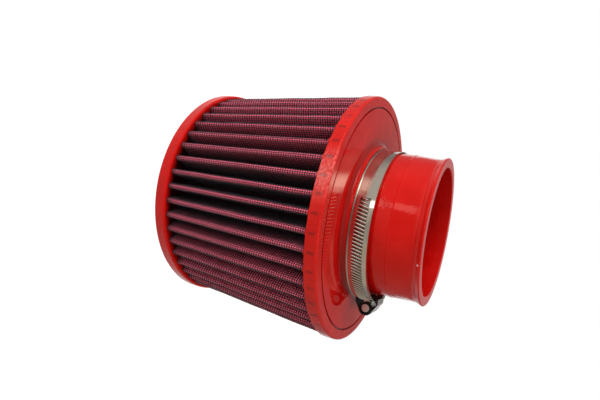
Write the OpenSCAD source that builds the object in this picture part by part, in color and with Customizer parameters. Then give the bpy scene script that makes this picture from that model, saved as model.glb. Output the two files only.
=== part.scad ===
// Cone air filter with a pleated cotton element between two moulded caps and a worm-drive hose clamp.
// It stands on its closed rear cap. +Z runs along the axis towards the mouth of the neck.

/* [Body] */
// Length from the back of the rear cap to the front face
body_len = 110.8; // [90:0.1:140]
// Outer diameter of the rear cap
rear_cap_d = 138.2; // [132:0.1:150]
// Thickness of the rear cap
rear_cap_t = 7.6; // [6:0.1:12]
// Edge rounding of the rear cap
rear_edge_r = 1.3; // [0.5:0.1:2.5]
// Diameter of the shallow recess in the back of the rear cap
recess_d = 104; // [60:1:120]
// Depth of that recess
recess_depth = 1.2; // [0.5:0.1:2.5]
// Outer diameter of the front cap
front_cap_d = 150; // [146:0.1:165]
// Thickness of the front cap's rim
front_cap_t = 7.1; // [6:0.1:12]
// Edge rounding of the front cap
front_edge_r = 1.4; // [0.5:0.1:2.5]

/* [Front face] */
// Diameter of the inner wall of the ring groove
groove_d = 136; // [124:0.1:140]
// Width of the ring groove
groove_w = 1.1; // [0.5:0.1:2]
// Depth of the ring groove
groove_depth = 1.2; // [0.4:0.1:2]
// Length of the thin ears where the moulding creeps along the pleat crests
ear_len = 0.8; // [0.4:0.1:1.4]
// Radius of the ears' round tips
ear_r = 1.3; // [0.9:0.1:2.5]
// Thickness of the ears
ear_t = 0.6; // [0.3:0.05:0.65]

/* [Neck] */
// Bore of the neck, for the intake pipe
bore_d = 76; // [70:0.5:80]
// Wall of the neck
neck_wall = 4.95; // [3.5:0.05:6.5]
// Length of the neck from the front face to the mouth
neck_len = 42.85; // [36:0.05:70]
// Radius of the fillet between the front face and the neck
root_fillet_r = 3.2; // [2:0.1:4]
// Height of the bead at the neck's root above the neck
root_bead_h = 2.6; // [1:0.1:4]
// Distance of the parting line from the front face
parting_at = 24.6; // [20:0.1:30]
// Step in radius at the parting line
parting_step = 0.15; // [0.1:0.05:0.8]
// Draft of the neck beyond the parting line, as a loss of radius
neck_draft = 0.8; // [0.1:0.05:1]
// Length of the lip at the mouth
lip_len = 4.3; // [3:0.1:7]
// Flare of the lip over the neck's radius at the root
lip_flare = 0.5; // [0.2:0.05:2]
// Radius of the bell at the inner end of the bore
bell_r = 3; // [1:0.1:5]

/* [Pleats] */
// Number of pleats
pleat_count = 48; // [40:1:52]
// Depth of the pleats, from crest to valley
pleat_depth = 18; // [12:0.1:20]
// Step from the rear cap's rim in to the pleat crests
rear_crest_inset = 1.6; // [1:0.1:4]
// Step from the front cap's rim in to the pleat crests
front_crest_inset = 0.75; // [0.7:0.05:3]
// Thickness of the cotton
cotton_t = 0.8; // [0.5:0.05:1.1]
// Thickness of each wire mesh
mesh_t = 0.4; // [0.3:0.05:0.5]
// Inner radius of each fold
fold_r = 0.15; // [0.1:0.05:0.4]
// Turn of the first pleat about the axis
pleat_turn = 0.6; // [0:0.1:7]

/* [Clamp band] */
// Width of the band
band_w = 12; // [9:0.1:13]
// Thickness of the band
band_t = 0.7; // [0.5:0.05:1]
// Slack of the loose band around the neck
band_slack = 1.95; // [0.6:0.05:2.5]
// Gap between the root bead and the band
band_gap = 0.25; // [0.1:0.05:1]
// Height of the turned-up edges
edge_rise = 0.3; // [0.2:0.05:0.6]
// Width of each turned-up edge
edge_w = 0.7; // [0.5:0.1:1.4]
// Angle that the free end runs on past the housing's middle
tail_angle = 15; // [11:0.5:24]
// Pitch of the ribs of the pressed thread
rib_pitch = 2; // [1.8:0.05:3]
// Length of a rib across the band
rib_len = 6; // [4:0.1:6.5]
// Radius of a rib's back
rib_r = 0.65; // [0.5:0.05:0.8]
// Height of a rib above the band
rib_h = 0.35; // [0.2:0.05:0.45]
// Slant of the ribs across the band
rib_slant = 12; // [4:1:16]
// Angle from the housing's middle to the first, shortest rib
rib_start = 106.5; // [60:0.5:130]

/* [Clamp screw and housing] */
// Radius of the screw's barrel
screw_r = 3.5; // [3:0.05:4.2]
// Running clearance round the screw
screw_clear = 0.06; // [0.03:0.01:0.1]
// Thickness of the housing's sheet
housing_t = 0.8; // [0.5:0.05:1]
// Length of the housing along the screw
housing_len = 13; // [10:0.1:16]
// Place of the housing's middle along the screw
housing_shift = -0.7; // [-1:0.1:1]
// Play between the band and the housing's side walls
side_play = 0.15; // [0.1:0.05:0.4]
// Height of the housing's side walls above the band
shoulder_h = 1.0; // [0.8:0.1:1.6]
// Width across the flats of the screw's head
hex_af = 7; // [6:0.1:7.2]
// Length of the hexagon
hex_len = 5.2; // [3:0.1:8]
// Thickness of the washer face under the hexagon
flange_t = 0.9; // [0.5:0.1:1.5]
// Width of the driver slot
slot_w = 1.1; // [0.8:0.1:1.6]
// Depth of the driver slot
slot_depth = 1.8; // [1:0.1:2.5]
// Radius of the screw's plain tip
tip_r = 2.6; // [1.5:0.05:2.9]
// Length of the plain tip
tip_len = 2; // [0.5:0.1:4]
// Chamfer on the plain tip
tip_chamfer = 0.3; // [0.1:0.05:0.6]

/* [Hidden] */
$fn = 96;

red = [0.84, 0.09, 0.08];
crimson = [0.62, 0.13, 0.18];
mesh_grey = [0.16, 0.14, 0.15];
steel = [0.72, 0.69, 0.64];

// Heights along the axis
media_z0 = rear_cap_t;
cap_back_z = body_len - front_cap_t;
mouth_z = body_len + neck_len;
parting_z = body_len + parting_at;
lip_z = mouth_z - lip_len;

// Radii of the neck
bore_r = bore_d / 2;
neck_r = bore_r + neck_wall;
bead_r = neck_r + root_bead_h;
bead_land = 0.5;
bead_edge_r = min(root_bead_h, 0.45);
bead_front_z = body_len + root_fillet_r + bead_land;
neck_end_r = neck_r - parting_step - neck_draft;
lip_r = neck_r + lip_flare;
mouth_round = 0.4;
lip_step = 0.15;
lip_flank = 0.3;
lip_turn = 0.45;
lip_land = 0.8;
ridge_h = 0.1;
ridge_w = 0.3;
ear_inset = 0.05;

// The element is three layers folded as one sheet
sheet_t = cotton_t + 2 * mesh_t;
crest_arc_r = fold_r + sheet_t;
arc_steps = 2;
half_pitch = 180 / pleat_count;
rear_crest_r = rear_cap_d / 2 - rear_crest_inset;
front_crest_r = front_cap_d / 2 - front_crest_inset;

// The loose band hangs on the far side of the neck, so its centre lies off the axis.
// Its free half runs on a larger circle that touches the smaller one just before the first rib.
touch_gap = 0.02;
band_in_r = neck_r + band_slack + touch_gap;
band_out_r = band_in_r + band_t;
band_x = band_slack;
band_z0 = bead_front_z + band_gap;
band_mid_z = band_z0 + band_w / 2;
layer_gap = 0.08;
fixed_end_angle = 1;
join_angle = -rib_start - 6;
lift_dir = join_angle + 180;
lift = (band_t + layer_gap) / (1 + cos(lift_dir - fixed_end_angle));
free_out_r = band_out_r + lift;
free_top_x = band_x + lift * cos(lift_dir) + free_out_r;

// The screw runs along Y over the two layers of band
rib_clear = 0.3;
rib_first = 0.5;
rib_growth = 0.3;
rib_past_screw = 4;
rib_sides = 24;
screw_x = free_top_x + rib_h + rib_clear + screw_r;
barrel_in_r = screw_r + screw_clear;
barrel_out_r = barrel_in_r + housing_t;
housing_y0 = housing_shift - housing_len / 2;
housing_y1 = housing_shift + housing_len / 2;
wall_in = band_w / 2 + side_play;
wall_out = wall_in + housing_t;
wall_mid = wall_in + housing_t / 2;
base_inset = 0.35;
base_out_r = band_in_r - layer_gap;
base_in_r = base_out_r - housing_t;
base_angle = asin((housing_len / 2 - base_inset) / base_out_r);
base_turn = asin(housing_shift / base_out_r);
foot_edge = 0.07;
leg_bite = 0.15;
wall_foot_x = band_x + base_in_r - foot_edge;
shoulder_x = free_top_x + shoulder_h;

// Radius of the crests at a height, where t runs from 0 at the rear cap to 1 at the front cap
function crest_r(t) = rear_crest_r + (front_crest_r - rear_crest_r) * t;

// A point at a radius and an angle from a centre
function around(c, r, a) = [c[0] + r * cos(a), c[1] + r * sin(a)];

// Half of one fold, from its crest at angle 0 to its valley at the half pitch.
// e is the layer's height in the sheet: 0 is the inside face and sheet_t the outside face.
function half_fold(top_r, e) =
    let (crest_c = [top_r - crest_arc_r, 0],
         valley_at = top_r - pleat_depth + crest_arc_r,
         valley_c = around([0, 0], valley_at, half_pitch),
         run = valley_c - crest_c,
         crest_a = fold_r + e,
         valley_a = fold_r + sheet_t - e,
         lean = atan2(run[1], run[0]) - acos((crest_a + valley_a) / norm(run)))
    concat([for (i = [0:arc_steps]) around(crest_c, crest_a, lean * i / arc_steps)],
           [for (i = [0:arc_steps])
               around(valley_c, valley_a, lean + 180 - (lean - half_pitch) * i / arc_steps)]);

// A point mirrored in the line through the valley
function mirrored(p) =
    let (r = norm(p), a = 2 * half_pitch - atan2(p[1], p[0]))
    [r * cos(a), r * sin(a)];

// One whole fold, from its crest to just before the next crest
function fold(top_r, e) =
    let (half = half_fold(top_r, e), last = len(half) - 1)
    concat(half, [for (i = [last - 1:-1:1]) mirrored(half[i])]);

// A point turned about the axis and set at a height
function placed(p, a, z) = [p[0] * cos(a) - p[1] * sin(a), p[0] * sin(a) + p[1] * cos(a), z];

// The closed outline of one face of the sheet, all the way round
function pleat_ring(top_r, e, z) =
    let (one = fold(top_r, e))
    [for (k = [0:pleat_count - 1]) for (p = one)
        placed(p, pleat_turn + 2 * half_pitch * k, z)];

// A folded layer between two heights of the sheet, from cap to cap.
// The inner wall is split along the same diagonals as the outer wall, so that layers meet exactly.
module pleated_layer(e_in, e_out) {
    rings = [pleat_ring(crest_r(0), e_out, media_z0), pleat_ring(crest_r(1), e_out, cap_back_z),
             pleat_ring(crest_r(1), e_in, cap_back_z), pleat_ring(crest_r(0), e_in, media_z0)];
    m = len(rings[0]);
    points = [for (ring = rings) for (p = ring) p];
    faces = [for (j = [0:3]) for (i = [0:m - 1])
        let (next = (i + 1) % m, up = (j + 1) % 4,
             a = j * m + i, b = j * m + next, c = up * m + next, d = up * m + i)
        each j == 2 ? [[a, d, b], [d, c, b]] : [[a, d, c], [a, c, b]]];
    polyhedron(points = points, faces = faces, convexity = 20);
}

module rear_cap() {
    r = rear_cap_d / 2;
    color(red)
    rotate_extrude()
    difference() {
        union() {
            square([r - rear_edge_r, rear_cap_t]);
            translate([0, rear_edge_r]) square([r, rear_cap_t - 2 * rear_edge_r]);
            translate([r - rear_edge_r, rear_edge_r]) circle(rear_edge_r);
            translate([r - rear_edge_r, rear_cap_t - rear_edge_r]) circle(rear_edge_r);
        }
        polygon([[-1, -1], [recess_d / 2 + recess_depth + 1, -1],
                 [recess_d / 2, recess_depth], [-1, recess_depth]]);
    }
}

module cotton_media() {
    color(crimson) pleated_layer(mesh_t, mesh_t + cotton_t);
}

module outer_mesh() {
    color(mesh_grey) pleated_layer(mesh_t + cotton_t, sheet_t);
}

module inner_mesh() {
    color(mesh_grey) pleated_layer(0, mesh_t);
}

// Section of the front cap's disc: rounded rim, ring groove and bell of the bore
module cap_section() {
    r = front_cap_d / 2;
    difference() {
        union() {
            translate([bore_r, cap_back_z]) square([r - front_edge_r - bore_r, front_cap_t]);
            translate([bore_r, cap_back_z]) square([r - bore_r, front_cap_t - front_edge_r]);
            translate([r - front_edge_r, body_len - front_edge_r]) circle(front_edge_r);
        }
        translate([groove_d / 2, body_len - groove_depth]) square([groove_w, groove_depth + 1]);
        difference() {
            translate([bore_r - 1, cap_back_z - 1]) square([bell_r + 1, bell_r + 1]);
            translate([bore_r + bell_r, cap_back_z + bell_r]) circle(bell_r);
        }
    }
}

// Section of the neck: root fillet and bead, straight seat for the clamp, drafted stretch and lip
module neck_section() {
    wall_foot_z = body_len - 1;
    difference() {
        translate([bore_r, wall_foot_z])
            square([bead_r + root_fillet_r - bore_r, root_fillet_r + 1]);
        translate([bead_r + root_fillet_r, body_len + root_fillet_r]) circle(root_fillet_r);
    }
    translate([bore_r, wall_foot_z])
        square([bead_r - bore_r, bead_front_z - bead_edge_r - wall_foot_z]);
    translate([bore_r, wall_foot_z])
        square([bead_r - bead_edge_r - bore_r, bead_front_z - wall_foot_z]);
    translate([bead_r - bead_edge_r, bead_front_z - bead_edge_r]) circle(bead_edge_r);
    polygon([[bore_r, wall_foot_z], [neck_r, wall_foot_z],
             [neck_r, parting_z - ridge_w], [neck_r + ridge_h, parting_z],
             [neck_r - parting_step, parting_z + ridge_w],
             [neck_end_r, lip_z], [neck_end_r + lip_step, lip_z + lip_flank],
             [lip_r - (lip_r - neck_end_r) / 2, lip_z + lip_len * lip_turn],
             [lip_r, lip_z + lip_len * lip_land],
             [lip_r, mouth_z - mouth_round], [lip_r - mouth_round, mouth_z],
             [bore_r + mouth_round, mouth_z], [bore_r, mouth_z - mouth_round]]);
}

// Thin round ears of the rim, one over each pleat crest
module crest_ears() {
    for (k = [0:pleat_count - 1])
        rotate(pleat_turn + 2 * half_pitch * k)
        translate([front_cap_d / 2 - ear_inset - ear_t, 0, cap_back_z - ear_len + ear_r])
        rotate([0, 90, 0]) cylinder(r = ear_r, h = ear_t);
}

module front_cap() {
    color(red) {
        rotate_extrude() {
            cap_section();
            neck_section();
        }
        crest_ears();
    }
}

// Section of the band: flat in the middle, with both edges turned up
module band_section(grow) {
    inner = band_in_r + grow;
    outer = band_out_r + grow;
    polygon([[inner + edge_rise, 0], [inner, edge_w],
             [inner, band_w - edge_w], [inner + edge_rise, band_w],
             [outer + edge_rise, band_w], [outer, band_w - edge_w],
             [outer, edge_w], [outer + edge_rise, 0]]);
}

// A stretch of band from one angle to another, where grow is what its circle is larger by
module band_arc(grow, from, to) {
    translate([band_x + grow * cos(lift_dir), grow * sin(lift_dir), band_z0])
    rotate(from)
    rotate_extrude(angle = to - from, $fn = 180) band_section(grow);
}

// The ribs of the pressed thread stand on the free half, and the first ones are shorter
module pressed_thread() {
    step = rib_pitch / free_out_r * 180 / PI;
    count = floor((rib_start + rib_past_screw) / step);
    for (i = [0:count - 1]) {
        long = rib_len * min(1, rib_first + rib_growth * i);
        translate([band_x + lift * cos(lift_dir), lift * sin(lift_dir), band_mid_z])
        rotate(i * step - rib_start)
        translate([free_out_r + rib_h - rib_r, 0, 0])
        rotate([-rib_slant, 0, 0])
        cylinder(r = rib_r, h = long, center = true, $fn = rib_sides);
    }
}

module clamp_band() {
    color(steel)
    union() {
        band_arc(0, fixed_end_angle, 360 + join_angle);
        band_arc(lift, join_angle, tail_angle);
        pressed_thread();
    }
}

// Tangent point on a circle at the origin for a line from p, on the side away from the band
function tangent_point(p, r) =
    let (a = atan2(p[1], p[0]) + acos(r / norm(p)))
    [r * cos(a), r * sin(a)];

// Outline of the housing across the screw: a barrel on two sloping legs and two side walls.
// The legs run a little into the barrel, so that they meet it at a clear angle.
// The first axis runs along the band's width and the second away from the band.
module housing_outline(barrel, wall) {
    shoulder = [wall, shoulder_x - screw_x];
    foot = [wall, wall_foot_x - screw_x];
    touch = tangent_point(shoulder, barrel - leg_bite);
    circle(barrel);
    polygon([foot, shoulder, touch, [-touch[0], touch[1]], [-shoulder[0], shoulder[1]],
             [-foot[0], foot[1]]]);
}

module clamp_housing() {
    color(steel) {
        translate([screw_x, housing_y0, band_mid_z])
        rotate([-90, 0, 0])
        rotate([0, 0, -90])
        linear_extrude(housing_len)
        difference() {
            housing_outline(barrel_out_r, wall_out);
            housing_outline(barrel_in_r, wall_in);
            translate([-wall_in, wall_foot_x - screw_x - 1]) square([2 * wall_in, 2]);
        }
        translate([band_x, 0, band_mid_z - wall_mid])
        rotate(base_turn - base_angle)
        rotate_extrude(angle = 2 * base_angle)
        translate([base_in_r, 0]) square([housing_t, 2 * wall_mid]);
    }
}

module clamp_screw() {
    head_y = housing_y1 + screw_clear;
    hex_r = hex_af / 2 / cos(30);
    color(steel)
    translate([screw_x, 0, band_mid_z])
    rotate([-90, 0, 0])
    difference() {
        union() {
            translate([0, 0, housing_y0 + tip_len])
                cylinder(r = screw_r, h = head_y - housing_y0 - tip_len);
            translate([0, 0, housing_y0 + tip_chamfer])
                cylinder(r = tip_r, h = tip_len + 1 - tip_chamfer);
            translate([0, 0, housing_y0])
                cylinder(r1 = tip_r - tip_chamfer, r2 = tip_r, h = tip_chamfer);
            translate([0, 0, head_y]) cylinder(r = hex_r, h = flange_t);
            translate([0, 0, head_y]) cylinder(r = hex_r, h = flange_t + hex_len, $fn = 6);
        }
        translate([-hex_r - 1, -slot_w / 2, head_y + flange_t + hex_len - slot_depth])
            cube([2 * hex_r + 2, slot_w, slot_depth + 1]);
    }
}

rear_cap();
cotton_media();
outer_mesh();
inner_mesh();
front_cap();
clamp_band();
clamp_housing();
clamp_screw();
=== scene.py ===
"""Looks of the cone air filter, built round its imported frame.

Lengths are in millimetres up to the point where a mesh is made, and in metres in Blender.
"""
import math

import bpy
import numpy as np
from mathutils import Matrix, Vector


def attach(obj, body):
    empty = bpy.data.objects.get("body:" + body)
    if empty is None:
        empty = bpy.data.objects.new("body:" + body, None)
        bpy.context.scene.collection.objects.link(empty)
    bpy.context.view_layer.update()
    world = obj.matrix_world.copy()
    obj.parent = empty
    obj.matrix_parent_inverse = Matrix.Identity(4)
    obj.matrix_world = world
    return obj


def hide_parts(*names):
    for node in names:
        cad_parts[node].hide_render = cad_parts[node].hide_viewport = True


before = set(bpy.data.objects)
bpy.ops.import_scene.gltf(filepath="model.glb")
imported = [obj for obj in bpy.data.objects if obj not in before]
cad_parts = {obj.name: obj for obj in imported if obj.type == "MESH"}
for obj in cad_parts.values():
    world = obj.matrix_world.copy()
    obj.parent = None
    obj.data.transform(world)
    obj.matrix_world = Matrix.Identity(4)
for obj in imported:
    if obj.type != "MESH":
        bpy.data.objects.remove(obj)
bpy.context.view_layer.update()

MM = 0.001

# Sizes of the folded element, the same values as in the part's source
PLEAT_COUNT = 48
PLEAT_TURN = 0.6
PLEAT_DEPTH = 18.0
REAR_CREST_R = 67.5
FRONT_CREST_R = 74.25
MEDIA_Z0 = 7.6
MEDIA_Z1 = 103.7
COTTON_T = 0.8
MESH_T = 0.4
FOLD_R = 0.15
SHEET_T = COTTON_T + 2 * MESH_T
HALF_PITCH = 180 / PLEAT_COUNT

# Sizes of the woven wire
CELLS_PER_HALF = 13
WOVEN_CELLS = 4
HOOP_COUNT = 60
HOOP_STRETCH = 0.15
WIRE_MARGIN = 0.008
WIRE_R = 0.16
WIRE_SIDES = 3
WEAVE = 0.10
OUTER_MESH_AT = MESH_T + COTTON_T + MESH_T / 2

# How finely a fold is made, and how far it wanders
SKIN_ROWS = 14
WELD = 0.01
WANDER = 0.9
WANDER_SCALE = 45.0
HELD_END = 12

# Sizes of the caps, neck and clamp
FRONT_CAP_R = 75.0
FRONT_FACE_Z = 110.8
NECK_LIP_Z = 150.0
NECK_R = 42.95
HOLLOW_FROM_R = 46.5
HOLLOW_TO_R = 51.5
ROOT_R = 48.0
GROOVE_R = 68.0
BAND_CENTRE_X = 1.95
BAND_W = 12.0
BAND_CROWN = 0.24
FREE_CENTRE = (2.163, 0.515)
FREE_R = 46.18
RIBS_FROM = -107.6
RIBS_TO = -8.0
RIB_REACH = 2.9
SCREW_X = 52.491
SCREW_Z = 120.75
SCREW_TIP_Y = -4.0
SCREW_END_R = 2.30

# Marks and a painted highlight on the front cap
PLEAT_MARK_FROM = 104.9
PLEAT_MARK_TO = 108.9
RIM_WIRE_PITCH = 1.3
HIGHLIGHT_FROM = -113.0
HIGHLIGHT_TO = -98.0
GRAIN = (17.61, -39.23, 152.16)


def use_camera():
    """The photograph's viewpoint: the filter stands upright and the camera is rolled."""
    data = bpy.data.cameras.new("camera")
    data.sensor_fit = "HORIZONTAL"
    data.sensor_width = 36.0
    data.lens = 26.82
    data.clip_start = 0.01
    data.clip_end = 20.0
    camera = bpy.data.objects.new("camera", data)
    bpy.context.scene.collection.objects.link(camera)
    right = Vector((-0.17723, 0.42974, 0.88539)).normalized()
    back = Vector((0.0, -0.89963, 0.43665)).normalized()
    up = back.cross(right)
    place = Matrix((right, up, back)).transposed().to_4x4()
    place.translation = Vector((-4.409, -270.262, 192.878)) * MM
    camera.matrix_world = place
    bpy.context.scene.camera = camera


# Node helpers

class Bench:
    """Adds nodes to one tree and joins them."""

    def __init__(self, tree):
        self.tree = tree

    def feed(self, socket, value):
        """Links a socket to another one, or sets its plain value."""
        if isinstance(value, bpy.types.NodeSocket):
            self.tree.links.new(value, socket)
        else:
            socket.default_value = value

    def add(self, kind, inputs=None, **settings):
        """A node with its settings and inputs."""
        node = self.tree.nodes.new(kind)
        for key, value in settings.items():
            setattr(node, key, value)
        for key, value in (inputs or {}).items():
            self.feed(node.inputs[key], value)
        return node

    def math(self, operation, *values):
        """The result of a Math node."""
        node = self.tree.nodes.new("ShaderNodeMath")
        node.operation = operation
        for socket, value in zip(node.inputs, values):
            self.feed(socket, value)
        return node.outputs[0]

    def times(self, *factors):
        """The product of two or more values."""
        result = factors[0]
        for factor in factors[1:]:
            result = self.math("MULTIPLY", result, factor)
        return result

    def span(self, value, low, high, start=0.0, end=1.0):
        """A value carried from one span to another and held there."""
        node = self.add("ShaderNodeMapRange", clamp=True)
        for socket, number in zip(node.inputs[:5], (value, low, high, start, end)):
            self.feed(socket, number)
        return node.outputs[0]

    def within(self, value, low, high, soft):
        """1 where a value lies between two limits, with soft ends."""
        rise = self.span(value, low - soft, low + soft)
        fall = self.span(value, high - soft, high + soft, 1.0, 0.0)
        return self.times(rise, fall)

    def mix(self, factor, first, second):
        """A mix of two colours."""
        node = self.tree.nodes.new("ShaderNodeMix")
        node.data_type = "RGBA"
        self.feed(node.inputs[0], factor)
        self.feed(node.inputs[6], first)
        self.feed(node.inputs[7], second)
        return node.outputs[2]

    def lerp(self, factor, first, second):
        """A mix of two values."""
        node = self.tree.nodes.new("ShaderNodeMix")
        node.data_type = "FLOAT"
        self.feed(node.inputs[0], factor)
        self.feed(node.inputs[2], first)
        self.feed(node.inputs[3], second)
        return node.outputs[0]

    def noise(self, vector, scale, detail=2.0, roughness=0.5):
        """Noise at a place."""
        node = self.add("ShaderNodeTexNoise", {"Vector": vector, "Scale": scale,
                                               "Detail": detail, "Roughness": roughness})
        return node.outputs["Fac"]

    def reach(self, x, y):
        """How far a point of a plane lies from its origin."""
        return self.math("SQRT", self.math("ADD", self.times(x, x), self.times(y, y)))

    def vector(self, x, y, z):
        """Three values as a vector."""
        return self.add("ShaderNodeCombineXYZ", {0: x, 1: y, 2: z}).outputs[0]

    def split(self, vector):
        """The three values of a vector."""
        return self.add("ShaderNodeSeparateXYZ", {0: vector}).outputs

    def place(self):
        """Where a point lies on its object, in metres."""
        return self.add("ShaderNodeTexCoord").outputs["Object"]

    def group(self, name, inputs=None):
        """The outputs of one of the shader groups below."""
        return self.add("ShaderNodeGroup", inputs, node_tree=GROUPS[name]).outputs

    def combine(self, operation, first, second):
        """The result of a Vector Math node that makes a vector of two."""
        return self.add("ShaderNodeVectorMath", {0: first, 1: second}, operation=operation).outputs[0]

    def measure(self, operation, first, second):
        """The result of a Vector Math node that makes a number of two vectors."""
        node = self.add("ShaderNodeVectorMath", {0: first, 1: second}, operation=operation)
        return node.outputs["Value"]


def new_group(name, inputs, outputs):
    """An empty shader node group with named sockets, and its input and output nodes."""
    group = bpy.data.node_groups.new(name, "ShaderNodeTree")
    for title, kind, value in inputs:
        socket = group.interface.new_socket(title, in_out="INPUT", socket_type=kind)
        socket.default_value = value
    for title, kind in outputs:
        group.interface.new_socket(title, in_out="OUTPUT", socket_type=kind)
    return group, group.nodes.new("NodeGroupInput"), group.nodes.new("NodeGroupOutput")


def round_the_axis():
    """Group: angle in degrees, radius and height in millimetres round an upright axis."""
    group, given, result = new_group(
        "round the axis",
        [("Centre X mm", "NodeSocketFloat", 0.0), ("Centre Y mm", "NodeSocketFloat", 0.0)],
        [("Angle", "NodeSocketFloat"), ("Radius", "NodeSocketFloat"),
         ("Height", "NodeSocketFloat"), ("Unrolled", "NodeSocketVector")])
    bench = Bench(group)
    parts = bench.split(bench.place())
    x = bench.math("SUBTRACT", bench.times(parts[0], 1 / MM), given.outputs[0])
    y = bench.math("SUBTRACT", bench.times(parts[1], 1 / MM), given.outputs[1])
    height = bench.times(parts[2], 1 / MM)
    turn = bench.math("ARCTAN2", y, x)
    bench.feed(result.inputs["Angle"], bench.times(turn, 180 / math.pi))
    bench.feed(result.inputs["Radius"], bench.reach(x, y))
    bench.feed(result.inputs["Height"], height)
    # Cosine and sine keep a pattern whole where the angle jumps from 180 to -180
    unrolled = bench.vector(bench.math("COSINE", turn), bench.math("SINE", turn), height)
    bench.feed(result.inputs["Unrolled"], unrolled)
    return group


def moulded_skin():
    """Group: the fine skin of cast polyurethane, as a height, a mottle and small pits."""
    group, given, result = new_group(
        "moulded skin",
        [("Grain mm", "NodeSocketFloat", 2.0), ("Mottle mm", "NodeSocketFloat", 14.0)],
        [("Height", "NodeSocketFloat"), ("Mottle", "NodeSocketFloat"), ("Pits", "NodeSocketFloat")])
    bench = Bench(group)
    place = bench.place()
    fine = bench.noise(place, bench.math("DIVIDE", 1 / MM, given.outputs[0]), 3.0, 0.55)
    broad = bench.noise(place, bench.math("DIVIDE", 1 / MM, given.outputs[1]), 2.0, 0.5)
    cells = bench.add("ShaderNodeTexVoronoi", {"Vector": place, "Scale": 170.0}, feature="F1")
    near = bench.span(cells.outputs["Distance"], 0.03, 0.06, 1.0, 0.0)
    some = bench.add("ShaderNodeSeparateColor", {0: cells.outputs["Color"]}).outputs[0]
    chosen = bench.math("GREATER_THAN", some, 0.8)
    pits = bench.times(near, chosen)
    bench.feed(result.inputs["Height"], bench.math("SUBTRACT", fine, pits))
    bench.feed(result.inputs["Mottle"], broad)
    bench.feed(result.inputs["Pits"], pits)
    return group


def drawn_metal():
    """Group: rolling lines along a strip of sheet, with smudges that dull it."""
    group, given, result = new_group(
        "drawn metal",
        [("Place", "NodeSocketVector", (0.0, 0.0, 0.0)), ("Lines per mm", "NodeSocketFloat", 6.0)],
        [("Lines", "NodeSocketFloat"), ("Smudges", "NodeSocketFloat")])
    bench = Bench(group)
    spread = bench.combine("MULTIPLY", given.outputs[0], (3.0, 3.0, 1.0))
    lines = bench.noise(spread, given.outputs[1], 3.0, 0.6)
    smudges = bench.noise(bench.place(), 160.0, 3.0, 0.6)
    bench.feed(result.inputs["Lines"], lines)
    bench.feed(result.inputs["Smudges"], smudges)
    return group


GROUPS = {"axis": round_the_axis(), "skin": moulded_skin(), "drawn": drawn_metal()}


def new_material(name, roughness=0.5, **sockets):
    """A material with a Principled shader whose plain sockets are set, and its bench."""
    material = bpy.data.materials.new(name)
    material.use_nodes = True
    shader = material.node_tree.nodes["Principled BSDF"]
    shader.inputs["Roughness"].default_value = roughness
    for title, value in sockets.items():
        shader.inputs[title.replace("_", " ")].default_value = value
    return material, Bench(material.node_tree), shader


def bumped(bench, shader, height, depth_mm):
    """Joins a height to the shader's normal, where 1 of height stands depth_mm proud."""
    bump = bench.add("ShaderNodeBump", {"Height": height, "Strength": 1.0,
                                        "Distance": depth_mm * MM})
    bench.feed(shader.inputs["Normal"], bump.outputs[0])


# Colours of the mouldings, with their painted shade and painted highlight, and the tint of their gloss
RED = (0.43, 0.003, 0.002, 1.0)
RED_DEEP = (0.38, 0.002, 0.0015, 1.0)
RED_PALE = (0.48, 0.006, 0.005, 1.0)
RED_PLEAT_SHADE = (0.010, 0.002, 0.002, 1.0)
RED_SMUDGED = (0.045, 0.005, 0.005, 1.0)
RED_PAINTED_HIGHLIGHT = (0.80, 0.30, 0.28, 1.0)
RED_SHADED = (0.10, 0.002, 0.002, 1.0)
PALE_DIRT = (0.70, 0.62, 0.62, 1.0)
GLOSS_TINT = (1.0, 0.50, 0.44, 1.0)


def rear_moulding():
    """Red moulding of the closed cap."""
    material, bench, shader = new_material(
        "rear cap moulding", 0.3, Specular_IOR_Level=0.3, Specular_Tint=GLOSS_TINT)
    skin = bench.group("skin", {"Grain mm": 2.4})
    tint = bench.mix(bench.span(skin["Mottle"], 0.3, 0.7), RED_DEEP, RED_PALE)
    # Painted shade darkens the cap between the ends of the pleats
    axis = bench.group("axis")
    radius = axis["Radius"]
    inner = bench.span(axis["Height"], MEDIA_Z0 - 0.4, MEDIA_Z0 - 0.1)
    below_crests = bench.span(radius, REAR_CREST_R - 3.5, REAR_CREST_R + 0.5, 0.97, 0.0)
    floor_r = REAR_CREST_R - PLEAT_DEPTH
    above_valleys = bench.span(radius, floor_r - 1.5, floor_r + 0.5, 0.25, 1.0)
    pleat_shade = bench.times(inner, below_crests, above_valleys)
    bench.feed(shader.inputs["Base Color"], bench.mix(pleat_shade, tint, RED_PLEAT_SHADE))
    bench.feed(shader.inputs["Roughness"], bench.span(skin["Mottle"], 0.3, 0.7, 0.28, 0.40))
    bumped(bench, shader, skin["Height"], 0.10)
    return material


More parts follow.
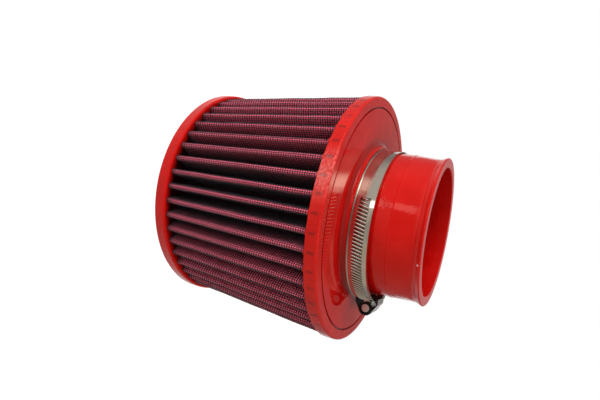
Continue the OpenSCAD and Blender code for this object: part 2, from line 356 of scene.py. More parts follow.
def pleat_marks(bench, angle, height):
    """Dark smudges where the pleat tips show through the rim, and the smear that shapes them."""
    drift = bench.noise(bench.vector(bench.times(angle, 0.11), 3.0, 0.0), 1.0, 1.0)
    placed = bench.math("ADD", angle, bench.span(drift, 0.2, 0.8, -1.1, 1.1))
    cell = bench.math("DIVIDE", bench.math("SUBTRACT", placed, PLEAT_TURN), 2 * HALF_PITCH)
    nearest = bench.math("ROUND", cell)
    off = bench.math("ABSOLUTE", bench.math("SUBTRACT", cell, nearest))
    smear = bench.noise(bench.vector(bench.times(angle, 0.9), height, 0.0), 1.3, 3.0, 0.6)
    width = bench.span(smear, 0.25, 0.75, 0.02, 0.13)
    smudge = bench.span(bench.math("SUBTRACT", off, width), -0.05, 0.06, 1.0, 0.0)
    # A few wires lie in each smudge
    wires = bench.math("SINE", bench.times(height, 2 * math.pi / RIM_WIRE_PITCH))
    wires = bench.span(wires, -0.6, 0.6, 0.55, 1.0)
    along = bench.within(height, PLEAT_MARK_FROM, PLEAT_MARK_TO, 0.5)
    strength = bench.noise(bench.vector(bench.times(nearest, 1.7), 0.0, 5.0), 1.0, 1.0)
    faint = bench.span(strength, 0.35, 0.6, 0.45, 0.95)
    return bench.times(smudge, wires, along, faint), smear


def front_moulding():
    """Red moulding of the front cap: pleat marks on the rim, a glossy face, a dimpled neck."""
    material, bench, shader = new_material(
        "front cap moulding", 0.3, Specular_IOR_Level=0.55, Specular_Tint=GLOSS_TINT)
    place = bench.place()
    skin = bench.group("skin")
    axis = bench.group("axis")
    angle = axis["Angle"]
    radius = axis["Radius"]
    height = axis["Height"]
    on_rim = bench.span(radius, FRONT_CAP_R - 1.6, FRONT_CAP_R - 0.8)
    on_neck = bench.span(height, FRONT_FACE_Z + 2.0, FRONT_FACE_Z + 3.2)
    marks, smear = pleat_marks(bench, angle, height)
    tint = bench.mix(bench.span(skin["Mottle"], 0.3, 0.7), RED_DEEP, RED_PALE)
    tint = bench.mix(bench.times(on_neck, 0.5), tint, RED)
    tint = bench.mix(bench.times(marks, on_rim), tint, RED_SMUDGED)
    # Painted highlight: a stretch of the rim is painted pale in streaks
    streaks = bench.noise(bench.vector(bench.times(angle, 0.8), height, 9.0), 0.9, 4.0, 0.7)
    stretch = bench.within(angle, HIGHLIGHT_FROM, HIGHLIGHT_TO, 5.0)
    rim_highlight = bench.times(stretch, bench.span(streaks, 0.35, 0.80), on_rim, 0.55)
    tint = bench.mix(rim_highlight, tint, RED_PAINTED_HIGHLIGHT)
    # Painted shade on the thin ears, in the groove and in the hollow round the bead
    ear_shade = bench.times(bench.span(height, MEDIA_Z1 - 0.15, MEDIA_Z1 + 0.05, 0.5, 0.0), on_rim)
    groove = bench.within(radius, GROOVE_R + 0.05, GROOVE_R + 1.05, 0.1)
    near_face = bench.span(height, FRONT_FACE_Z + 1.2, FRONT_FACE_Z + 3.4, 1.0, 0.0)
    outside = bench.span(radius, NECK_R - 0.35, NECK_R + 0.25)
    by_bead = bench.span(radius, HOLLOW_FROM_R, HOLLOW_TO_R, 0.75, 0.0)
    hollow = bench.times(by_bead, near_face, outside)
    shade = bench.math("MAXIMUM", ear_shade, bench.math("MAXIMUM", bench.times(groove, 0.8), hollow))
    tint = bench.mix(shade, tint, RED_SHADED)
    tint = bench.mix(bench.times(skin["Pits"], 0.5), tint, RED_PALE)
    # One grain of pale dirt sticks to the lip
    from_grain = bench.measure("DISTANCE", place, Vector(GRAIN) * MM)
    grain = bench.span(from_grain, 0.4 * MM, 0.6 * MM, 1.0, 0.0)
    tint = bench.mix(grain, tint, PALE_DIRT)
    bench.feed(shader.inputs["Base Color"], tint)
    # Roughness of the face, the neck, its lip, the hollow, the rim's face and the rim
    dull = bench.lerp(on_neck, 0.05, 0.07)
    dull = bench.lerp(bench.span(height, NECK_LIP_Z - 3.0, NECK_LIP_Z - 1.5), dull, 0.28)
    dull = bench.lerp(hollow, dull, 0.45)
    dull = bench.lerp(bench.span(radius, GROOVE_R, GROOVE_R + 0.5), dull, 0.22)
    dull = bench.lerp(on_rim, dull, bench.span(smear, 0.3, 0.7, 0.16, 0.34))
    bench.feed(shader.inputs["Roughness"], dull)
    # The neck is faintly dimpled below its lip, and the rim has fine bumps
    dimples = bench.noise(place, 480.0, 3.0, 0.6)
    patches = bench.span(bench.noise(place, 75.0, 1.0), 0.47, 0.62, 0.5, 3.5)
    below_lip = bench.span(height, NECK_LIP_Z - 4.0, NECK_LIP_Z - 2.0, 1.0, 0.0)
    dimples = bench.times(dimples, on_neck, below_lip, patches)
    fine = bench.times(skin["Height"], bench.lerp(on_rim, 0.25, 0.5))
    # The face rises a little from the groove to the neck's root
    slope = bench.span(radius, ROOT_R, GROOVE_R, 11.0, 0.0)
    rise = bench.math("ADD", bench.math("ADD", fine, dimples), slope)
    bumped(bench, shader, rise, 0.08)
    return material


def depth_in_pleats(bench, axis):
    """Depth below the pleat crests in millimetres."""
    along = bench.span(axis["Height"], MEDIA_Z0, MEDIA_Z1, REAR_CREST_R, FRONT_CREST_R)
    return bench.math("SUBTRACT", along, axis["Radius"])


def cell_parts(bench):
    """Places across and along the folds, counted in openings of the wire."""
    return bench.split(bench.add("ShaderNodeUVMap", uv_map="cells").outputs[0])[:2]


# Colours of the cotton, with its painted light and shade
COTTON_SHADED = (0.030, 0.003, 0.005, 1.0)
COTTON_LIT = (0.92, 0.145, 0.235, 1.0)
COTTON_DAMP = (0.42, 0.035, 0.075, 1.0)
COTTON_FOLD_SHADE = (0.035, 0.002, 0.005, 1.0)
COTTON_CAP_SHADE = (0.03, 0.004, 0.006, 1.0)
COTTON_INSIDE = (0.40, 0.030, 0.060, 1.0)


def oiled_cotton():
    """Crimson cotton gauze that swells a little through every opening of the wire."""
    material, bench, shader = new_material(
        "oiled cotton", 0.42, Specular_IOR_Level=0.25,
        Sheen_Weight=0.08, Sheen_Roughness=0.4, Sheen_Tint=(1.0, 0.75, 0.8, 1.0))
    axis = bench.group("axis")
    across, along = (bench.math("ABSOLUTE", bench.math("SINE", bench.times(part, math.pi)))
                     for part in cell_parts(bench))
    place = bench.place()
    thread = bench.noise(place, 2600.0, 2.0, 0.6)
    patch = bench.noise(place, 60.0, 3.0, 0.6)
    # Painted light and shade: each opening of the wire is painted lit, the cotton along the wires
    # painted shaded
    opening = bench.times(bench.span(along, 0.45, 0.80), bench.span(across, 0.15, 0.55))
    lit = bench.times(opening, bench.span(thread, 0.25, 0.6, 0.7, 1.0))
    tint = bench.mix(lit, COTTON_SHADED, COTTON_LIT)
    tint = bench.mix(bench.span(patch, 0.4, 0.75, 0.0, 0.25), tint, COTTON_DAMP)
    # Painted shade: the cotton darkens with depth in the folds
    fold_shade = bench.span(depth_in_pleats(bench, axis), 2.2, 11.0, 0.0, 0.90)
    tint = bench.mix(fold_shade, tint, COTTON_FOLD_SHADE)
    # Painted shade where the folds meet the rear cap
    cap_shade = bench.span(axis["Height"], MEDIA_Z0 + 0.6, MEDIA_Z0 + 2.6, 0.85, 0.0)
    tint = bench.mix(cap_shade, tint, COTTON_CAP_SHADE)
    bench.feed(shader.inputs["Base Color"], tint)
    swell = bench.math("ADD", bench.times(across, along), bench.times(thread, 0.3))
    bumped(bench, shader, swell, 0.18)
    return material


# Colours of the wires' coating
COATING = (0.014, 0.013, 0.018, 1.0)
COATING_WORN = (0.050, 0.042, 0.056, 1.0)
COATING_FOLD_SHADE = (0.009, 0.008, 0.010, 1.0)
COATING_INSIDE = (0.05, 0.045, 0.052, 1.0)


def coated_wire():
    """Near-black coating on the wires, worn a little grey in patches, and painted darker deeper in the
    folds as shade, so the crests look greyer.
    """
    material, bench, shader = new_material("coated wire", 0.38, Specular_IOR_Level=0.3)
    patch = bench.noise(bench.place(), 220.0, 2.0, 0.6)
    tint = bench.mix(bench.span(patch, 0.35, 0.7), COATING, COATING_WORN)
    # Painted shade: the wires darken with depth in the folds
    deep = bench.span(depth_in_pleats(bench, bench.group("axis")), 1.5, 6.0, 0.0, 0.9)
    bench.feed(shader.inputs["Base Color"], bench.mix(deep, tint, COATING_FOLD_SHADE))
    bench.feed(shader.inputs["Roughness"], bench.span(patch, 0.3, 0.7, 0.30, 0.48))
    return material


def inner_wire_skin():
    """The clean side: wires and cotton drawn on the inner skin."""
    material, bench, shader = new_material("inner mesh", 0.5)
    offs = (bench.math("ABSOLUTE", bench.math("SUBTRACT", part, bench.math("ROUND", part)))
            for part in cell_parts(bench))
    wires = bench.math("MAXIMUM", *(bench.span(off, 0.06, 0.13, 1.0, 0.0) for off in offs))
    bench.feed(shader.inputs["Base Color"], bench.mix(wires, COTTON_INSIDE, COATING_INSIDE))
    bumped(bench, shader, wires, 0.2)
    return material


# Colours of the steels, and the painted shade on them
BAND_DULL = (0.58, 0.53, 0.47, 1.0)
BAND_BRIGHT = (0.68, 0.64, 0.58, 1.0)
SLOT_SHADE = (0.07, 0.050, 0.038, 1.0)
EDGE_SHADE = (0.10, 0.06, 0.05, 1.0)
SCREW_DULL = (0.62, 0.60, 0.58, 1.0)
SCREW_BRIGHT = (0.80, 0.79, 0.77, 1.0)
SCREW_END = (0.74, 0.70, 0.68, 1.0)
SCREW_SHADE = (0.010, 0.009, 0.009, 1.0)
HOUSING_DULL = (0.50, 0.44, 0.43, 1.0)
HOUSING_BRIGHT = (0.72, 0.68, 0.66, 1.0)
HOUSING_SHADE = (0.012, 0.010, 0.010, 1.0)


def band_steel():
    """Rolled steel of the band, duller with smudges, with painted shade in the slots between the ribs
    and along its lower edge.
    """
    material, bench, shader = new_material("clamp band steel", 0.14, Metallic=1.0)
    axis = bench.group("axis", {"Centre X mm": BAND_CENTRE_X})
    height = axis["Height"]
    drawn = bench.group("drawn", {"Place": axis["Unrolled"]})
    smudged = bench.span(drawn["Smudges"], 0.3, 0.7)
    tint = bench.mix(smudged, BAND_DULL, BAND_BRIGHT)
    # Painted shade fills the slots of the pressed thread and the joint below the band's edge
    free = bench.group("axis", {"Centre X mm": FREE_CENTRE[0], "Centre Y mm": FREE_CENTRE[1]})
    slot_shade = bench.times(
        bench.within(height, SCREW_Z - RIB_REACH, SCREW_Z + RIB_REACH, 0.25),
        bench.within(free["Angle"], RIBS_FROM, RIBS_TO, 0.4),
        bench.span(free["Radius"], FREE_R + 0.03, FREE_R + 0.15, 0.9, 0.0))
    tint = bench.mix(slot_shade, tint, SLOT_SHADE)
    band_low = SCREW_Z - BAND_W / 2
    low_edge_shade = bench.span(height, band_low + 0.2, band_low + 0.6, 0.55, 0.0)
    bench.feed(shader.inputs["Base Color"], bench.mix(low_edge_shade, tint, EDGE_SHADE))
    dull = bench.span(drawn["Smudges"], 0.3, 0.7, 0.09, 0.17)
    bench.feed(shader.inputs["Roughness"], bench.lerp(low_edge_shade, dull, 0.6))
    # The strip is a little crowned, so its two halves mirror different things
    off = bench.math("DIVIDE", bench.math("SUBTRACT", height, SCREW_Z), BAND_W / 2)
    crown = bench.times(off, off, -BAND_CROWN)
    bumped(bench, shader, bench.math("ADD", crown, bench.times(drawn["Lines"], 0.004)), 1.0)
    return material


def screw_steel():
    """Steel of the screw: a bright tip, with painted shade in the barrel round it."""
    material, bench, shader = new_material("clamp screw steel", 0.3, Metallic=1.0)
    place = bench.place()
    parts = bench.split(place)
    x = bench.times(bench.math("SUBTRACT", parts[0], SCREW_X * MM), 1 / MM)
    z = bench.times(bench.math("SUBTRACT", parts[2], SCREW_Z * MM), 1 / MM)
    radius = bench.reach(x, z)
    at_tip = bench.math("LESS_THAN", parts[1], SCREW_TIP_Y * MM)
    # Painted shade in the barrel round the screw's end
    shade_round_tip = bench.times(at_tip, bench.span(radius, SCREW_END_R, SCREW_END_R + 0.12))
    middle = bench.times(at_tip, bench.span(radius, 1.55, 1.80, 1.0, 0.0))
    smudges = bench.noise(place, 300.0, 3.0, 0.6)
    tint = bench.mix(bench.span(smudges, 0.3, 0.7), SCREW_DULL, SCREW_BRIGHT)
    tint = bench.mix(middle, tint, SCREW_END)
    bench.feed(shader.inputs["Base Color"], bench.mix(shade_round_tip, tint, SCREW_SHADE))
    bench.feed(shader.inputs["Metallic"], bench.lerp(shade_round_tip, 1.0, 0.0))
    bench.feed(shader.inputs["Roughness"], bench.span(smudges, 0.3, 0.7, 0.22, 0.36))
    return material


def housing_steel():
    """Steel of the housing: its cut ends, the faces turned under and its inside are painted dark as
    shade.
    """
    material, bench, shader = new_material("clamp housing steel", 0.3, Metallic=1.0)
    place = bench.place()
    facing = bench.split(bench.add("ShaderNodeNewGeometry").outputs["True Normal"])
    side = bench.math("SIGN", bench.math("SUBTRACT", bench.split(place)[2], SCREW_Z * MM))
    inward = bench.math("LESS_THAN", bench.times(facing[2], side), -0.3)
    under = bench.math("LESS_THAN", facing[0], -0.25)
    ends = bench.math("GREATER_THAN", bench.math("ABSOLUTE", facing[1]), 0.8)
    # Painted shade on the cut ends, the faces turned under and the inside
    shaded_faces = bench.math("MAXIMUM", bench.math("MAXIMUM", inward, under), ends)
    smudges = bench.noise(place, 260.0, 3.0, 0.6)
    tint = bench.mix(bench.span(smudges, 0.3, 0.7), HOUSING_DULL, HOUSING_BRIGHT)
    dull = bench.span(smudges, 0.3, 0.7, 0.22, 0.40)
    bench.feed(shader.inputs["Base Color"], bench.mix(shaded_faces, tint, HOUSING_SHADE))
    bench.feed(shader.inputs["Roughness"], bench.lerp(shaded_faces, dull, 0.6))
    bench.feed(shader.inputs["Metallic"], bench.lerp(shaded_faces, 1.0, 0.0))
    return material


# The folded element

def polar(centre, radius, degrees):
    """Points on a circle round a centre."""
    turn = np.radians(degrees)
    return np.stack([centre[0] + radius * np.cos(turn), centre[1] + radius * np.sin(turn)], -1)


class HalfPleat:
    """Half a fold from crest to valley at one end of the element, as the part's source draws it."""

    def __init__(self, top_r, arc_steps=7, wall_steps=5):
        arc_r = FOLD_R + SHEET_T
        crest = np.array([top_r - arc_r, 0.0])
        valley = polar((0.0, 0.0), top_r - PLEAT_DEPTH + arc_r, np.array(HALF_PITCH))
        run = valley - crest
        length = float(np.hypot(*run))
        lean = math.degrees(math.atan2(run[1], run[0]) - math.acos((2 * FOLD_R + SHEET_T) / length))
        step = np.linspace(0.0, 1.0, arc_steps + 1)
        crest_angles = lean * step
        valley_angles = lean + 180 - (lean - HALF_PITCH) * step

        def face(e):
            first = polar(crest, FOLD_R + e, crest_angles)
            last = polar(valley, FOLD_R + SHEET_T - e, valley_angles)
            between = np.linspace(first[-1], last[0], wall_steps + 1)[1:-1]
            return np.concatenate([first, between, last])

        self.inside = face(0.0)
        self.normal = face(1.0) - self.inside
        middle = self.inside + self.normal * OUTER_MESH_AT
        paces = np.hypot(*np.diff(middle, axis=0).T)
        self.path = np.concatenate([[0.0], np.cumsum(paces)]) / paces.sum()

    def at(self, u, e):
        """Points at fractions u of the way from crest to valley, e above the inside face."""
        share = np.abs(u)
        flat = [np.interp(share, self.path, self.inside[:, k]) for k in (0, 1)]
        lift = [np.interp(share, self.path, self.normal[:, k]) for k in (0, 1)]
        x = flat[0] + lift[0] * e
        y = (flat[1] + lift[1] * e) * np.where(np.asarray(u) < 0, -1.0, 1.0)
        return np.stack([x, y], -1)


REAR_PLEAT = HalfPleat(REAR_CREST_R)
FRONT_PLEAT = HalfPleat(FRONT_CREST_R)


def in_pleat(u, t, e):
    """Points of one pleat in millimetres: u across from valley -1 to valley 1, t along, e through."""
    u, t, e = np.broadcast_arrays(np.asarray(u, float), np.asarray(t, float), np.asarray(e, float))
    rear = REAR_PLEAT.at(u, e)
    front = FRONT_PLEAT.at(u, e)
    flat = rear + (front - rear) * t[..., None]
    z = MEDIA_Z0 + (MEDIA_Z1 - MEDIA_Z0) * t
    return np.concatenate([flat, z[..., None]], -1)


def hoop_place(share):
    """Where along the element a share of the hoops lies: they stand a little wider apart at the rear."""
    return WIRE_MARGIN + (1 - 2 * WIRE_MARGIN) * (share + HOOP_STRETCH * share * (1 - share))


def hoop_share(t):
    """The share of the hoops passed at a place along the element."""
    place = (t - WIRE_MARGIN) / (1 - 2 * WIRE_MARGIN)
    steep = 1 + HOOP_STRETCH
    return (steep - np.sqrt(steep ** 2 - 4 * HOOP_STRETCH * place)) / (2 * HOOP_STRETCH)


def new_mesh(name, points, faces=(), edges=()):
    """A mesh object in the scene from points in millimetres."""
    mesh = bpy.data.meshes.new(name)
    mesh.from_pydata((np.asarray(points) * MM).tolist(), edges, faces)
    mesh.update()
    thing = bpy.data.objects.new(name, mesh)
    bpy.context.scene.collection.objects.link(thing)
    return thing


def pleat_skin(name, e_in, e_out):
    """One pleat of a layer as a closed sleeve between its two faces, with a UV map in mesh cells."""
    across = np.concatenate([-REAR_PLEAT.path[::-1], REAR_PLEAT.path[1:]])
    t = np.linspace(0.0, 1.0, SKIN_ROWS)
    grid_u, grid_t = np.meshgrid(across, t)
    outer = in_pleat(grid_u, grid_t, e_out).reshape(-1, 3)
    inner = in_pleat(grid_u, grid_t, e_in).reshape(-1, 3)
    n = len(across)
    m = len(outer)
    faces = []
    for row in range(SKIN_ROWS - 1):
        for k in range(n - 1):
            a = row * n + k
            b = a + n
            faces.append((a, a + 1, b + 1, b))
            faces.append((m + a, m + b, m + b + 1, m + a + 1))
    for k in range(n - 1):
        a = (SKIN_ROWS - 1) * n + k
        faces.append((k, m + k, m + k + 1, k + 1))
        faces.append((a, a + 1, m + a + 1, m + a))
    skin = new_mesh(name, np.concatenate([outer, inner]), faces)
    cell_u = np.tile(grid_u.ravel() * CELLS_PER_HALF, 2)
    cell_v = np.tile(hoop_share(grid_t.ravel()) * (HOOP_COUNT - 1), 2)
    layer = skin.data.uv_layers.new(name="cells")
    corners = np.array([loop.vertex_index for loop in skin.data.loops])
    layer.data.foreach_set("uv", np.stack([cell_u[corners], cell_v[corners]], -1).ravel())
    return skin


def add_strand(points, edges, strand):
    """Adds one wire's centre line to a list of points and edges."""
    first = sum(len(part) for part in points)
    points.append(strand)
    edges.extend((first + k, first + k + 1) for k in range(len(strand) - 1))


def hoop_strands(first, last):
    """Centre lines of one pleat's wires that run round: woven at the crest, plain in the fold."""
    points, edges = [], []
    reach = WOVEN_CELLS / CELLS_PER_HALF
    woven = np.arange(-2 * WOVEN_CELLS, 2 * WOVEN_CELLS + 1) / (2 * CELLS_PER_HALF)
    # Down the wall, at the start and the middle of the valley's arc, and at its end
    deep = np.array([0.60, REAR_PLEAT.path[-8], REAR_PLEAT.path[-5], 1.0])
    u = np.concatenate([-deep[::-1], woven, deep])
    wave = np.where(np.abs(u) <= reach + 1e-6, np.cos(np.pi * u * CELLS_PER_HALF), 0.0)
    for hoop in range(first, last):
        side = 1 if hoop % 2 else -1
        t = hoop_place(hoop / (HOOP_COUNT - 1))
        add_strand(points, edges, in_pleat(u, t, OUTER_MESH_AT + side * WEAVE * wave))
    return np.concatenate(points), edges


def long_strands(woven):
    """Centre lines of one pleat's wires that run along it, either the woven or the plain ones."""
    points, edges = [], []
    for cell in range(-CELLS_PER_HALF + 1, CELLS_PER_HALF):
        if (abs(cell) <= WOVEN_CELLS) != woven:
            continue
        steps = HOOP_COUNT if woven else SKIN_ROWS
        t = hoop_place(np.linspace(0.0, 1.0, steps))
        wave = np.where(np.arange(steps) % 2 == 1, -1.0, 1.0) * (1 if cell % 2 == 0 else -1)
        rise = WEAVE * wave if woven else np.zeros(steps)
        add_strand(points, edges, in_pleat(cell / CELLS_PER_HALF, t, OUTER_MESH_AT + rise))
    return np.concatenate(points), edges


def geometry_tree(name, inputs):
    """An empty geometry tree with named inputs, and its input and output nodes."""
    tree = bpy.data.node_groups.new(name, "GeometryNodeTree")
    tree.interface.new_socket("Geometry", in_out="INPUT", socket_type="NodeSocketGeometry")
    for title, kind in inputs:
        tree.interface.new_socket(title, in_out="INPUT", socket_type=kind)
    tree.interface.new_socket("Geometry", in_out="OUTPUT", socket_type="NodeSocketGeometry")
    return tree, tree.nodes.new("NodeGroupInput"), tree.nodes.new("NodeGroupOutput")


def wire_tree():
    """Turns centre lines into round wire."""
    tree, given, result = geometry_tree("wire from centre lines", [
        ("Wire radius", "NodeSocketFloat"), ("Wire sides", "NodeSocketInt"),
        ("Finish", "NodeSocketMaterial")])
    bench = Bench(tree)
    lines = bench.add("GeometryNodeMeshToCurve", {"Mesh": given.outputs["Geometry"]})
    round_bar = bench.add("GeometryNodeCurvePrimitiveCircle", {
        "Resolution": given.outputs["Wire sides"], "Radius": given.outputs["Wire radius"]})
    wire = bench.add("GeometryNodeCurveToMesh", {
        "Curve": lines.outputs[0], "Profile Curve": round_bar.outputs[0]})
    smooth = bench.add("GeometryNodeSetShadeSmooth", {"Geometry": wire.outputs[0]})
    real = bench.add("GeometryNodeRealizeInstances", {"Geometry": smooth.outputs[0]})
    finish = bench.add("GeometryNodeSetMaterial", {
        "Geometry": real.outputs[0], "Material": given.outputs["Finish"]})
    bench.feed(result.inputs["Geometry"], finish.outputs[0])
    return tree


def pleats_tree():
    """Sets one pleat's geometry round the axis, then lets the folds wander a little."""
    tree, given, result = geometry_tree("pleats round the axis", [
        ("Pleat count", "NodeSocketInt"), ("First turn", "NodeSocketFloat"),
        ("Weld distance", "NodeSocketFloat"), ("Wander", "NodeSocketFloat"),
        ("Wander scale", "NodeSocketFloat"), ("Finish", "NodeSocketMaterial")])
    bench = Bench(tree)
    count = given.outputs["Pleat count"]
    spots = bench.add("GeometryNodeMeshLine", {"Count": count, "Offset": (0.0, 0.0, 0.0)})
    number = bench.add("GeometryNodeInputIndex").outputs[0]
    share = bench.math("DIVIDE", number, count)
    turn = bench.math("ADD", bench.times(share, 2 * math.pi), given.outputs["First turn"])
    placed = bench.add("GeometryNodeInstanceOnPoints", {
        "Points": spots.outputs[0], "Instance": given.outputs["Geometry"],
        "Rotation": bench.vector(0.0, 0.0, turn)})
    real = bench.add("GeometryNodeRealizeInstances", {"Geometry": placed.outputs[0]})
    welded = bench.add("GeometryNodeMergeByDistance", {
        "Geometry": real.outputs[0], "Distance": given.outputs["Weld distance"]})
    place = bench.add("GeometryNodeInputPosition").outputs[0]
    noise = bench.add("ShaderNodeTexNoise", {
        "Vector": place, "Scale": given.outputs["Wander scale"], "Detail": 1.0})
    middle = bench.combine("SUBTRACT", noise.outputs["Color"], (0.5, 0.5, 0.5))
    # The caps hold both ends of the folds in place
    height = bench.split(place)[2]
    free = bench.times(
        bench.span(height, MEDIA_Z0 * MM, (MEDIA_Z0 + HELD_END) * MM),
        bench.span(height, (MEDIA_Z1 - HELD_END) * MM, MEDIA_Z1 * MM, 1.0, 0.0))
    amount = bench.times(free, given.outputs["Wander"])
    shift = bench.add("ShaderNodeVectorMath", {0: middle, "Scale": amount}, operation="SCALE")
    moved = bench.add("GeometryNodeSetPosition", {
        "Geometry": welded.outputs[0],
        "Offset": bench.combine("MULTIPLY", shift.outputs[0], (1.0, 1.0, 0.0))})
    smooth = bench.add("GeometryNodeSetShadeSmooth", {"Geometry": moved.outputs[0]})
    again = bench.add("GeometryNodeRealizeInstances", {"Geometry": smooth.outputs[0]})
    finish = bench.add("GeometryNodeSetMaterial", {
        "Geometry": again.outputs[0], "Material": given.outputs["Finish"]})
    bench.feed(result.inputs["Geometry"], finish.outputs[0])
    return tree


def run_tree(thing, tree, **values):
    """Gives an object a tree with its inputs set by name."""
    modifier = thing.modifiers.new(tree.name, "NODES")
    sockets = {item.name: item.identifier for item in tree.interface.items_tree
               if item.item_type == "SOCKET" and item.in_out == "INPUT"}
    modifier.node_group = tree
    for title, value in values.items():
        modifier[sockets[title.replace("_", " ")]] = value


def made_plain(thing):
    """Turns the result of an object's trees into its plain mesh."""
    bpy.context.view_layer.update()
    graph = bpy.context.evaluated_depsgraph_get()
    mesh = bpy.data.meshes.new_from_object(thing.evaluated_get(graph))
    mesh.name = thing.name
    thing.modifiers.clear()
    thing.data = mesh
    return thing


WIRE_TREE = wire_tree()
PLEATS_TREE = pleats_tree()


def round_pleats(thing, finish, weld=0.0):
    """Sets a single pleat's mesh round the axis as a plain mesh."""
    run_tree(thing, PLEATS_TREE, Pleat_count=PLEAT_COUNT, First_turn=math.radians(PLEAT_TURN),
             Weld_distance=weld * MM, Wander=WANDER * MM, Wander_scale=WANDER_SCALE, Finish=finish)
    return made_plain(thing)


def wire_piece(name, strands, finish):
    """Wires from one pleat's centre lines, all the way round."""
    points, edges = strands
    thing = new_mesh(name, points, edges=edges)
    run_tree(thing, WIRE_TREE, Wire_radius=WIRE_R * MM, Wire_sides=WIRE_SIDES, Finish=finish)
    return round_pleats(thing, finish)


def build_element():
    """Cotton, outer wires and inner skin of the folded element."""
    cotton = pleat_skin("cotton_folds", MESH_T, MESH_T + COTTON_T)
    round_pleats(cotton, oiled_cotton(), WELD)
    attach(cotton, "filter")
    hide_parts("cotton_media")

    inner = pleat_skin("inner_folds", 0.0, MESH_T)
    round_pleats(inner, inner_wire_skin(), WELD)
    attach(inner, "filter")
    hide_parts("inner_mesh")

    coating = coated_wire()
    thirds = [k * HOOP_COUNT // 3 for k in range(4)]
    wires = [wire_piece(f"wire_hoops_{k + 1}", hoop_strands(thirds[k], thirds[k + 1]), coating)
             for k in range(3)]
    wires.append(wire_piece("wire_crests", long_strands(True), coating))
    wires.append(wire_piece("wire_folds", long_strands(False), coating))
    for wire in wires:
        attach(wire, "filter")
        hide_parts("outer_mesh")


def finish_node(name, material):
    """Gives a CAD node its material."""
    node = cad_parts[name]
    node.data.materials.clear()
    node.data.materials.append(material)


# Stage and light

WHITE = (1.0, 1.0, 1.0, 1.0)
TABLE_GREY = (0.34, 0.34, 0.34, 1.0)
WALL_WARM = (0.46, 0.41, 0.34, 1.0)
WALL_GREY = (0.52, 0.49, 0.45, 1.0)
WALL_DIM = (0.03, 0.03, 0.03, 1.0)
WALL_AHEAD = (0.26, 0.25, 0.24, 1.0)
GLOW = (4.3, 4.5, 3.9, 1.0)
PANEL = (0.80, 0.72, 0.60, 1.0)


def white_where_seen(bench, plain, strength):
    """Plain surface for light, white for rays that the camera, gloss or glass sends."""
    path = bench.add("ShaderNodeLightPath").outputs
    seen = bench.math("MAXIMUM", path["Is Camera Ray"], path["Is Glossy Ray"])
    seen = bench.math("MAXIMUM", seen, path["Is Transmission Ray"])
    glow = bench.add("ShaderNodeEmission", {"Color": WHITE, "Strength": bench.times(seen, strength)})
    return bench.add("ShaderNodeAddShader", {0: plain, 1: glow.outputs[0]})


# The table top, just below the filter
FLOOR_R = 260
FLOOR_CENTRE_Y = 60
FLOOR_Z = -0.05
FLOOR_STEPS = 96


def build_floor():
    """A round pale table top that keeps a faint shadow."""
    turns = [2 * math.pi * k / FLOOR_STEPS for k in range(FLOOR_STEPS)]
    ring = [(FLOOR_R * math.cos(a), FLOOR_CENTRE_Y + FLOOR_R * math.sin(a), FLOOR_Z) for a in turns]
    floor = new_mesh("table_top", ring, [tuple(range(FLOOR_STEPS))])
    material = bpy.data.materials.new("pale table")
    material.use_nodes = True
    tree = material.node_tree
    tree.nodes.clear()
    bench = Bench(tree)
    plain = bench.add("ShaderNodeBsdfDiffuse", {"Color": TABLE_GREY})
    both = white_where_seen(bench, plain.outputs[0], 0.9)
    out = bench.add("ShaderNodeOutputMaterial")
    bench.feed(out.inputs["Surface"], both.outputs[0])
    floor.data.materials.append(material)
    floor.visible_shadow = False


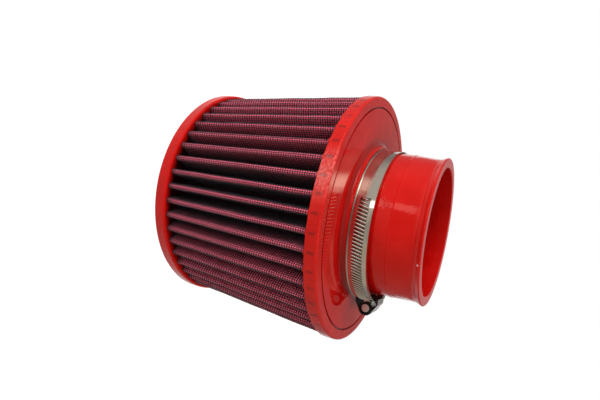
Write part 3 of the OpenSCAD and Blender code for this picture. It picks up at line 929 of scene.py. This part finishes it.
def light_room():
    """A room of warm grey, dim behind the camera, with a white backdrop where the photograph looks.

    Mirrored rays alone also meet a bright glow and a tan panel.
    """
    world = bpy.data.worlds.new("studio")
    world.use_nodes = True
    bpy.context.scene.world = world
    tree = world.node_tree
    tree.nodes.clear()
    bench = Bench(tree)
    way = bench.add("ShaderNodeTexCoord").outputs["Generated"]

    def towards(x, y, z):
        return bench.measure("DOT_PRODUCT", way, (x, y, z))

    away = towards(0.0, 0.9, -0.437)
    above = towards(-0.984, -0.077, -0.159)
    walls = bench.mix(bench.span(above, -0.6, 0.6), WALL_WARM, WALL_GREY)
    walls = bench.mix(bench.span(away, -0.95, -0.70, 0.7, 0.0), walls, WALL_DIM)
    walls = bench.mix(bench.span(away, 0.1, 0.5), walls, WALL_AHEAD)
    path = bench.add("ShaderNodeLightPath").outputs
    mirrored = bench.math("MAXIMUM", path["Is Glossy Ray"], path["Is Transmission Ray"])
    # The glow lies where the front face sees the room by way of the band
    glow = bench.times(mirrored, bench.span(towards(-0.75, -0.50, 0.42), 0.945, 0.995))
    walls = bench.mix(glow, walls, GLOW)
    # The panel lies below the key lamp, where the band's middle looks
    panel = bench.times(mirrored, bench.span(towards(-0.20, -0.87, -0.44), 0.94, 0.985))
    walls = bench.mix(panel, walls, PANEL)
    backdrop = bench.times(mirrored, bench.span(away, 0.80, 0.84))
    seen = bench.math("MAXIMUM", path["Is Camera Ray"], backdrop)
    shade = bench.mix(seen, walls, WHITE)
    strength = bench.lerp(path["Is Diffuse Ray"], 1.0, 1.6)
    back = bench.add("ShaderNodeBackground", {"Color": shade, "Strength": strength})
    out = bench.add("ShaderNodeOutputWorld")
    bench.feed(out.inputs["Surface"], back.outputs[0])


def add_lamp(name, place, aim, size, power, mirrored=True):
    """A soft lamp of a width and height that shines at a point."""
    data = bpy.data.lights.new(name, "AREA")
    data.shape = "RECTANGLE"
    data.size = size[0]
    data.size_y = size[1]
    data.energy = power
    lamp = bpy.data.objects.new(name, data)
    bpy.context.scene.collection.objects.link(lamp)
    lamp.location = Vector(place)
    lamp.rotation_mode = "QUATERNION"
    lamp.rotation_quaternion = (Vector(aim) - Vector(place)).to_track_quat("-Z", "Y")
    lamp.visible_glossy = mirrored


def light_stage():
    """The room, a key lamp that gloss mirrors, and three soft lamps that it doesn't."""
    light_room()
    aim = (0.0, -0.02, 0.09)
    add_lamp("key", (-0.36, -0.70, -0.12), aim, (0.14, 0.56), 0.50)
    add_lamp("soft top", (-0.80, -0.46, 0.36), aim, (0.55, 0.55), 8.6, mirrored=False)
    add_lamp("front fill", (-0.10, -0.85, 0.30), aim, (0.50, 0.50), 1.5, mirrored=False)
    add_lamp("face fill", (0.20, -0.30, 1.00), aim, (0.60, 0.60), 3.0, mirrored=False)


use_camera()
bpy.context.scene.view_settings.view_transform = "Standard"
light_stage()
build_floor()
build_element()
finish_node("rear_cap", rear_moulding())
finish_node("front_cap", front_moulding())
finish_node("clamp_band", band_steel())
finish_node("clamp_housing", housing_steel())
finish_node("clamp_screw", screw_steel())
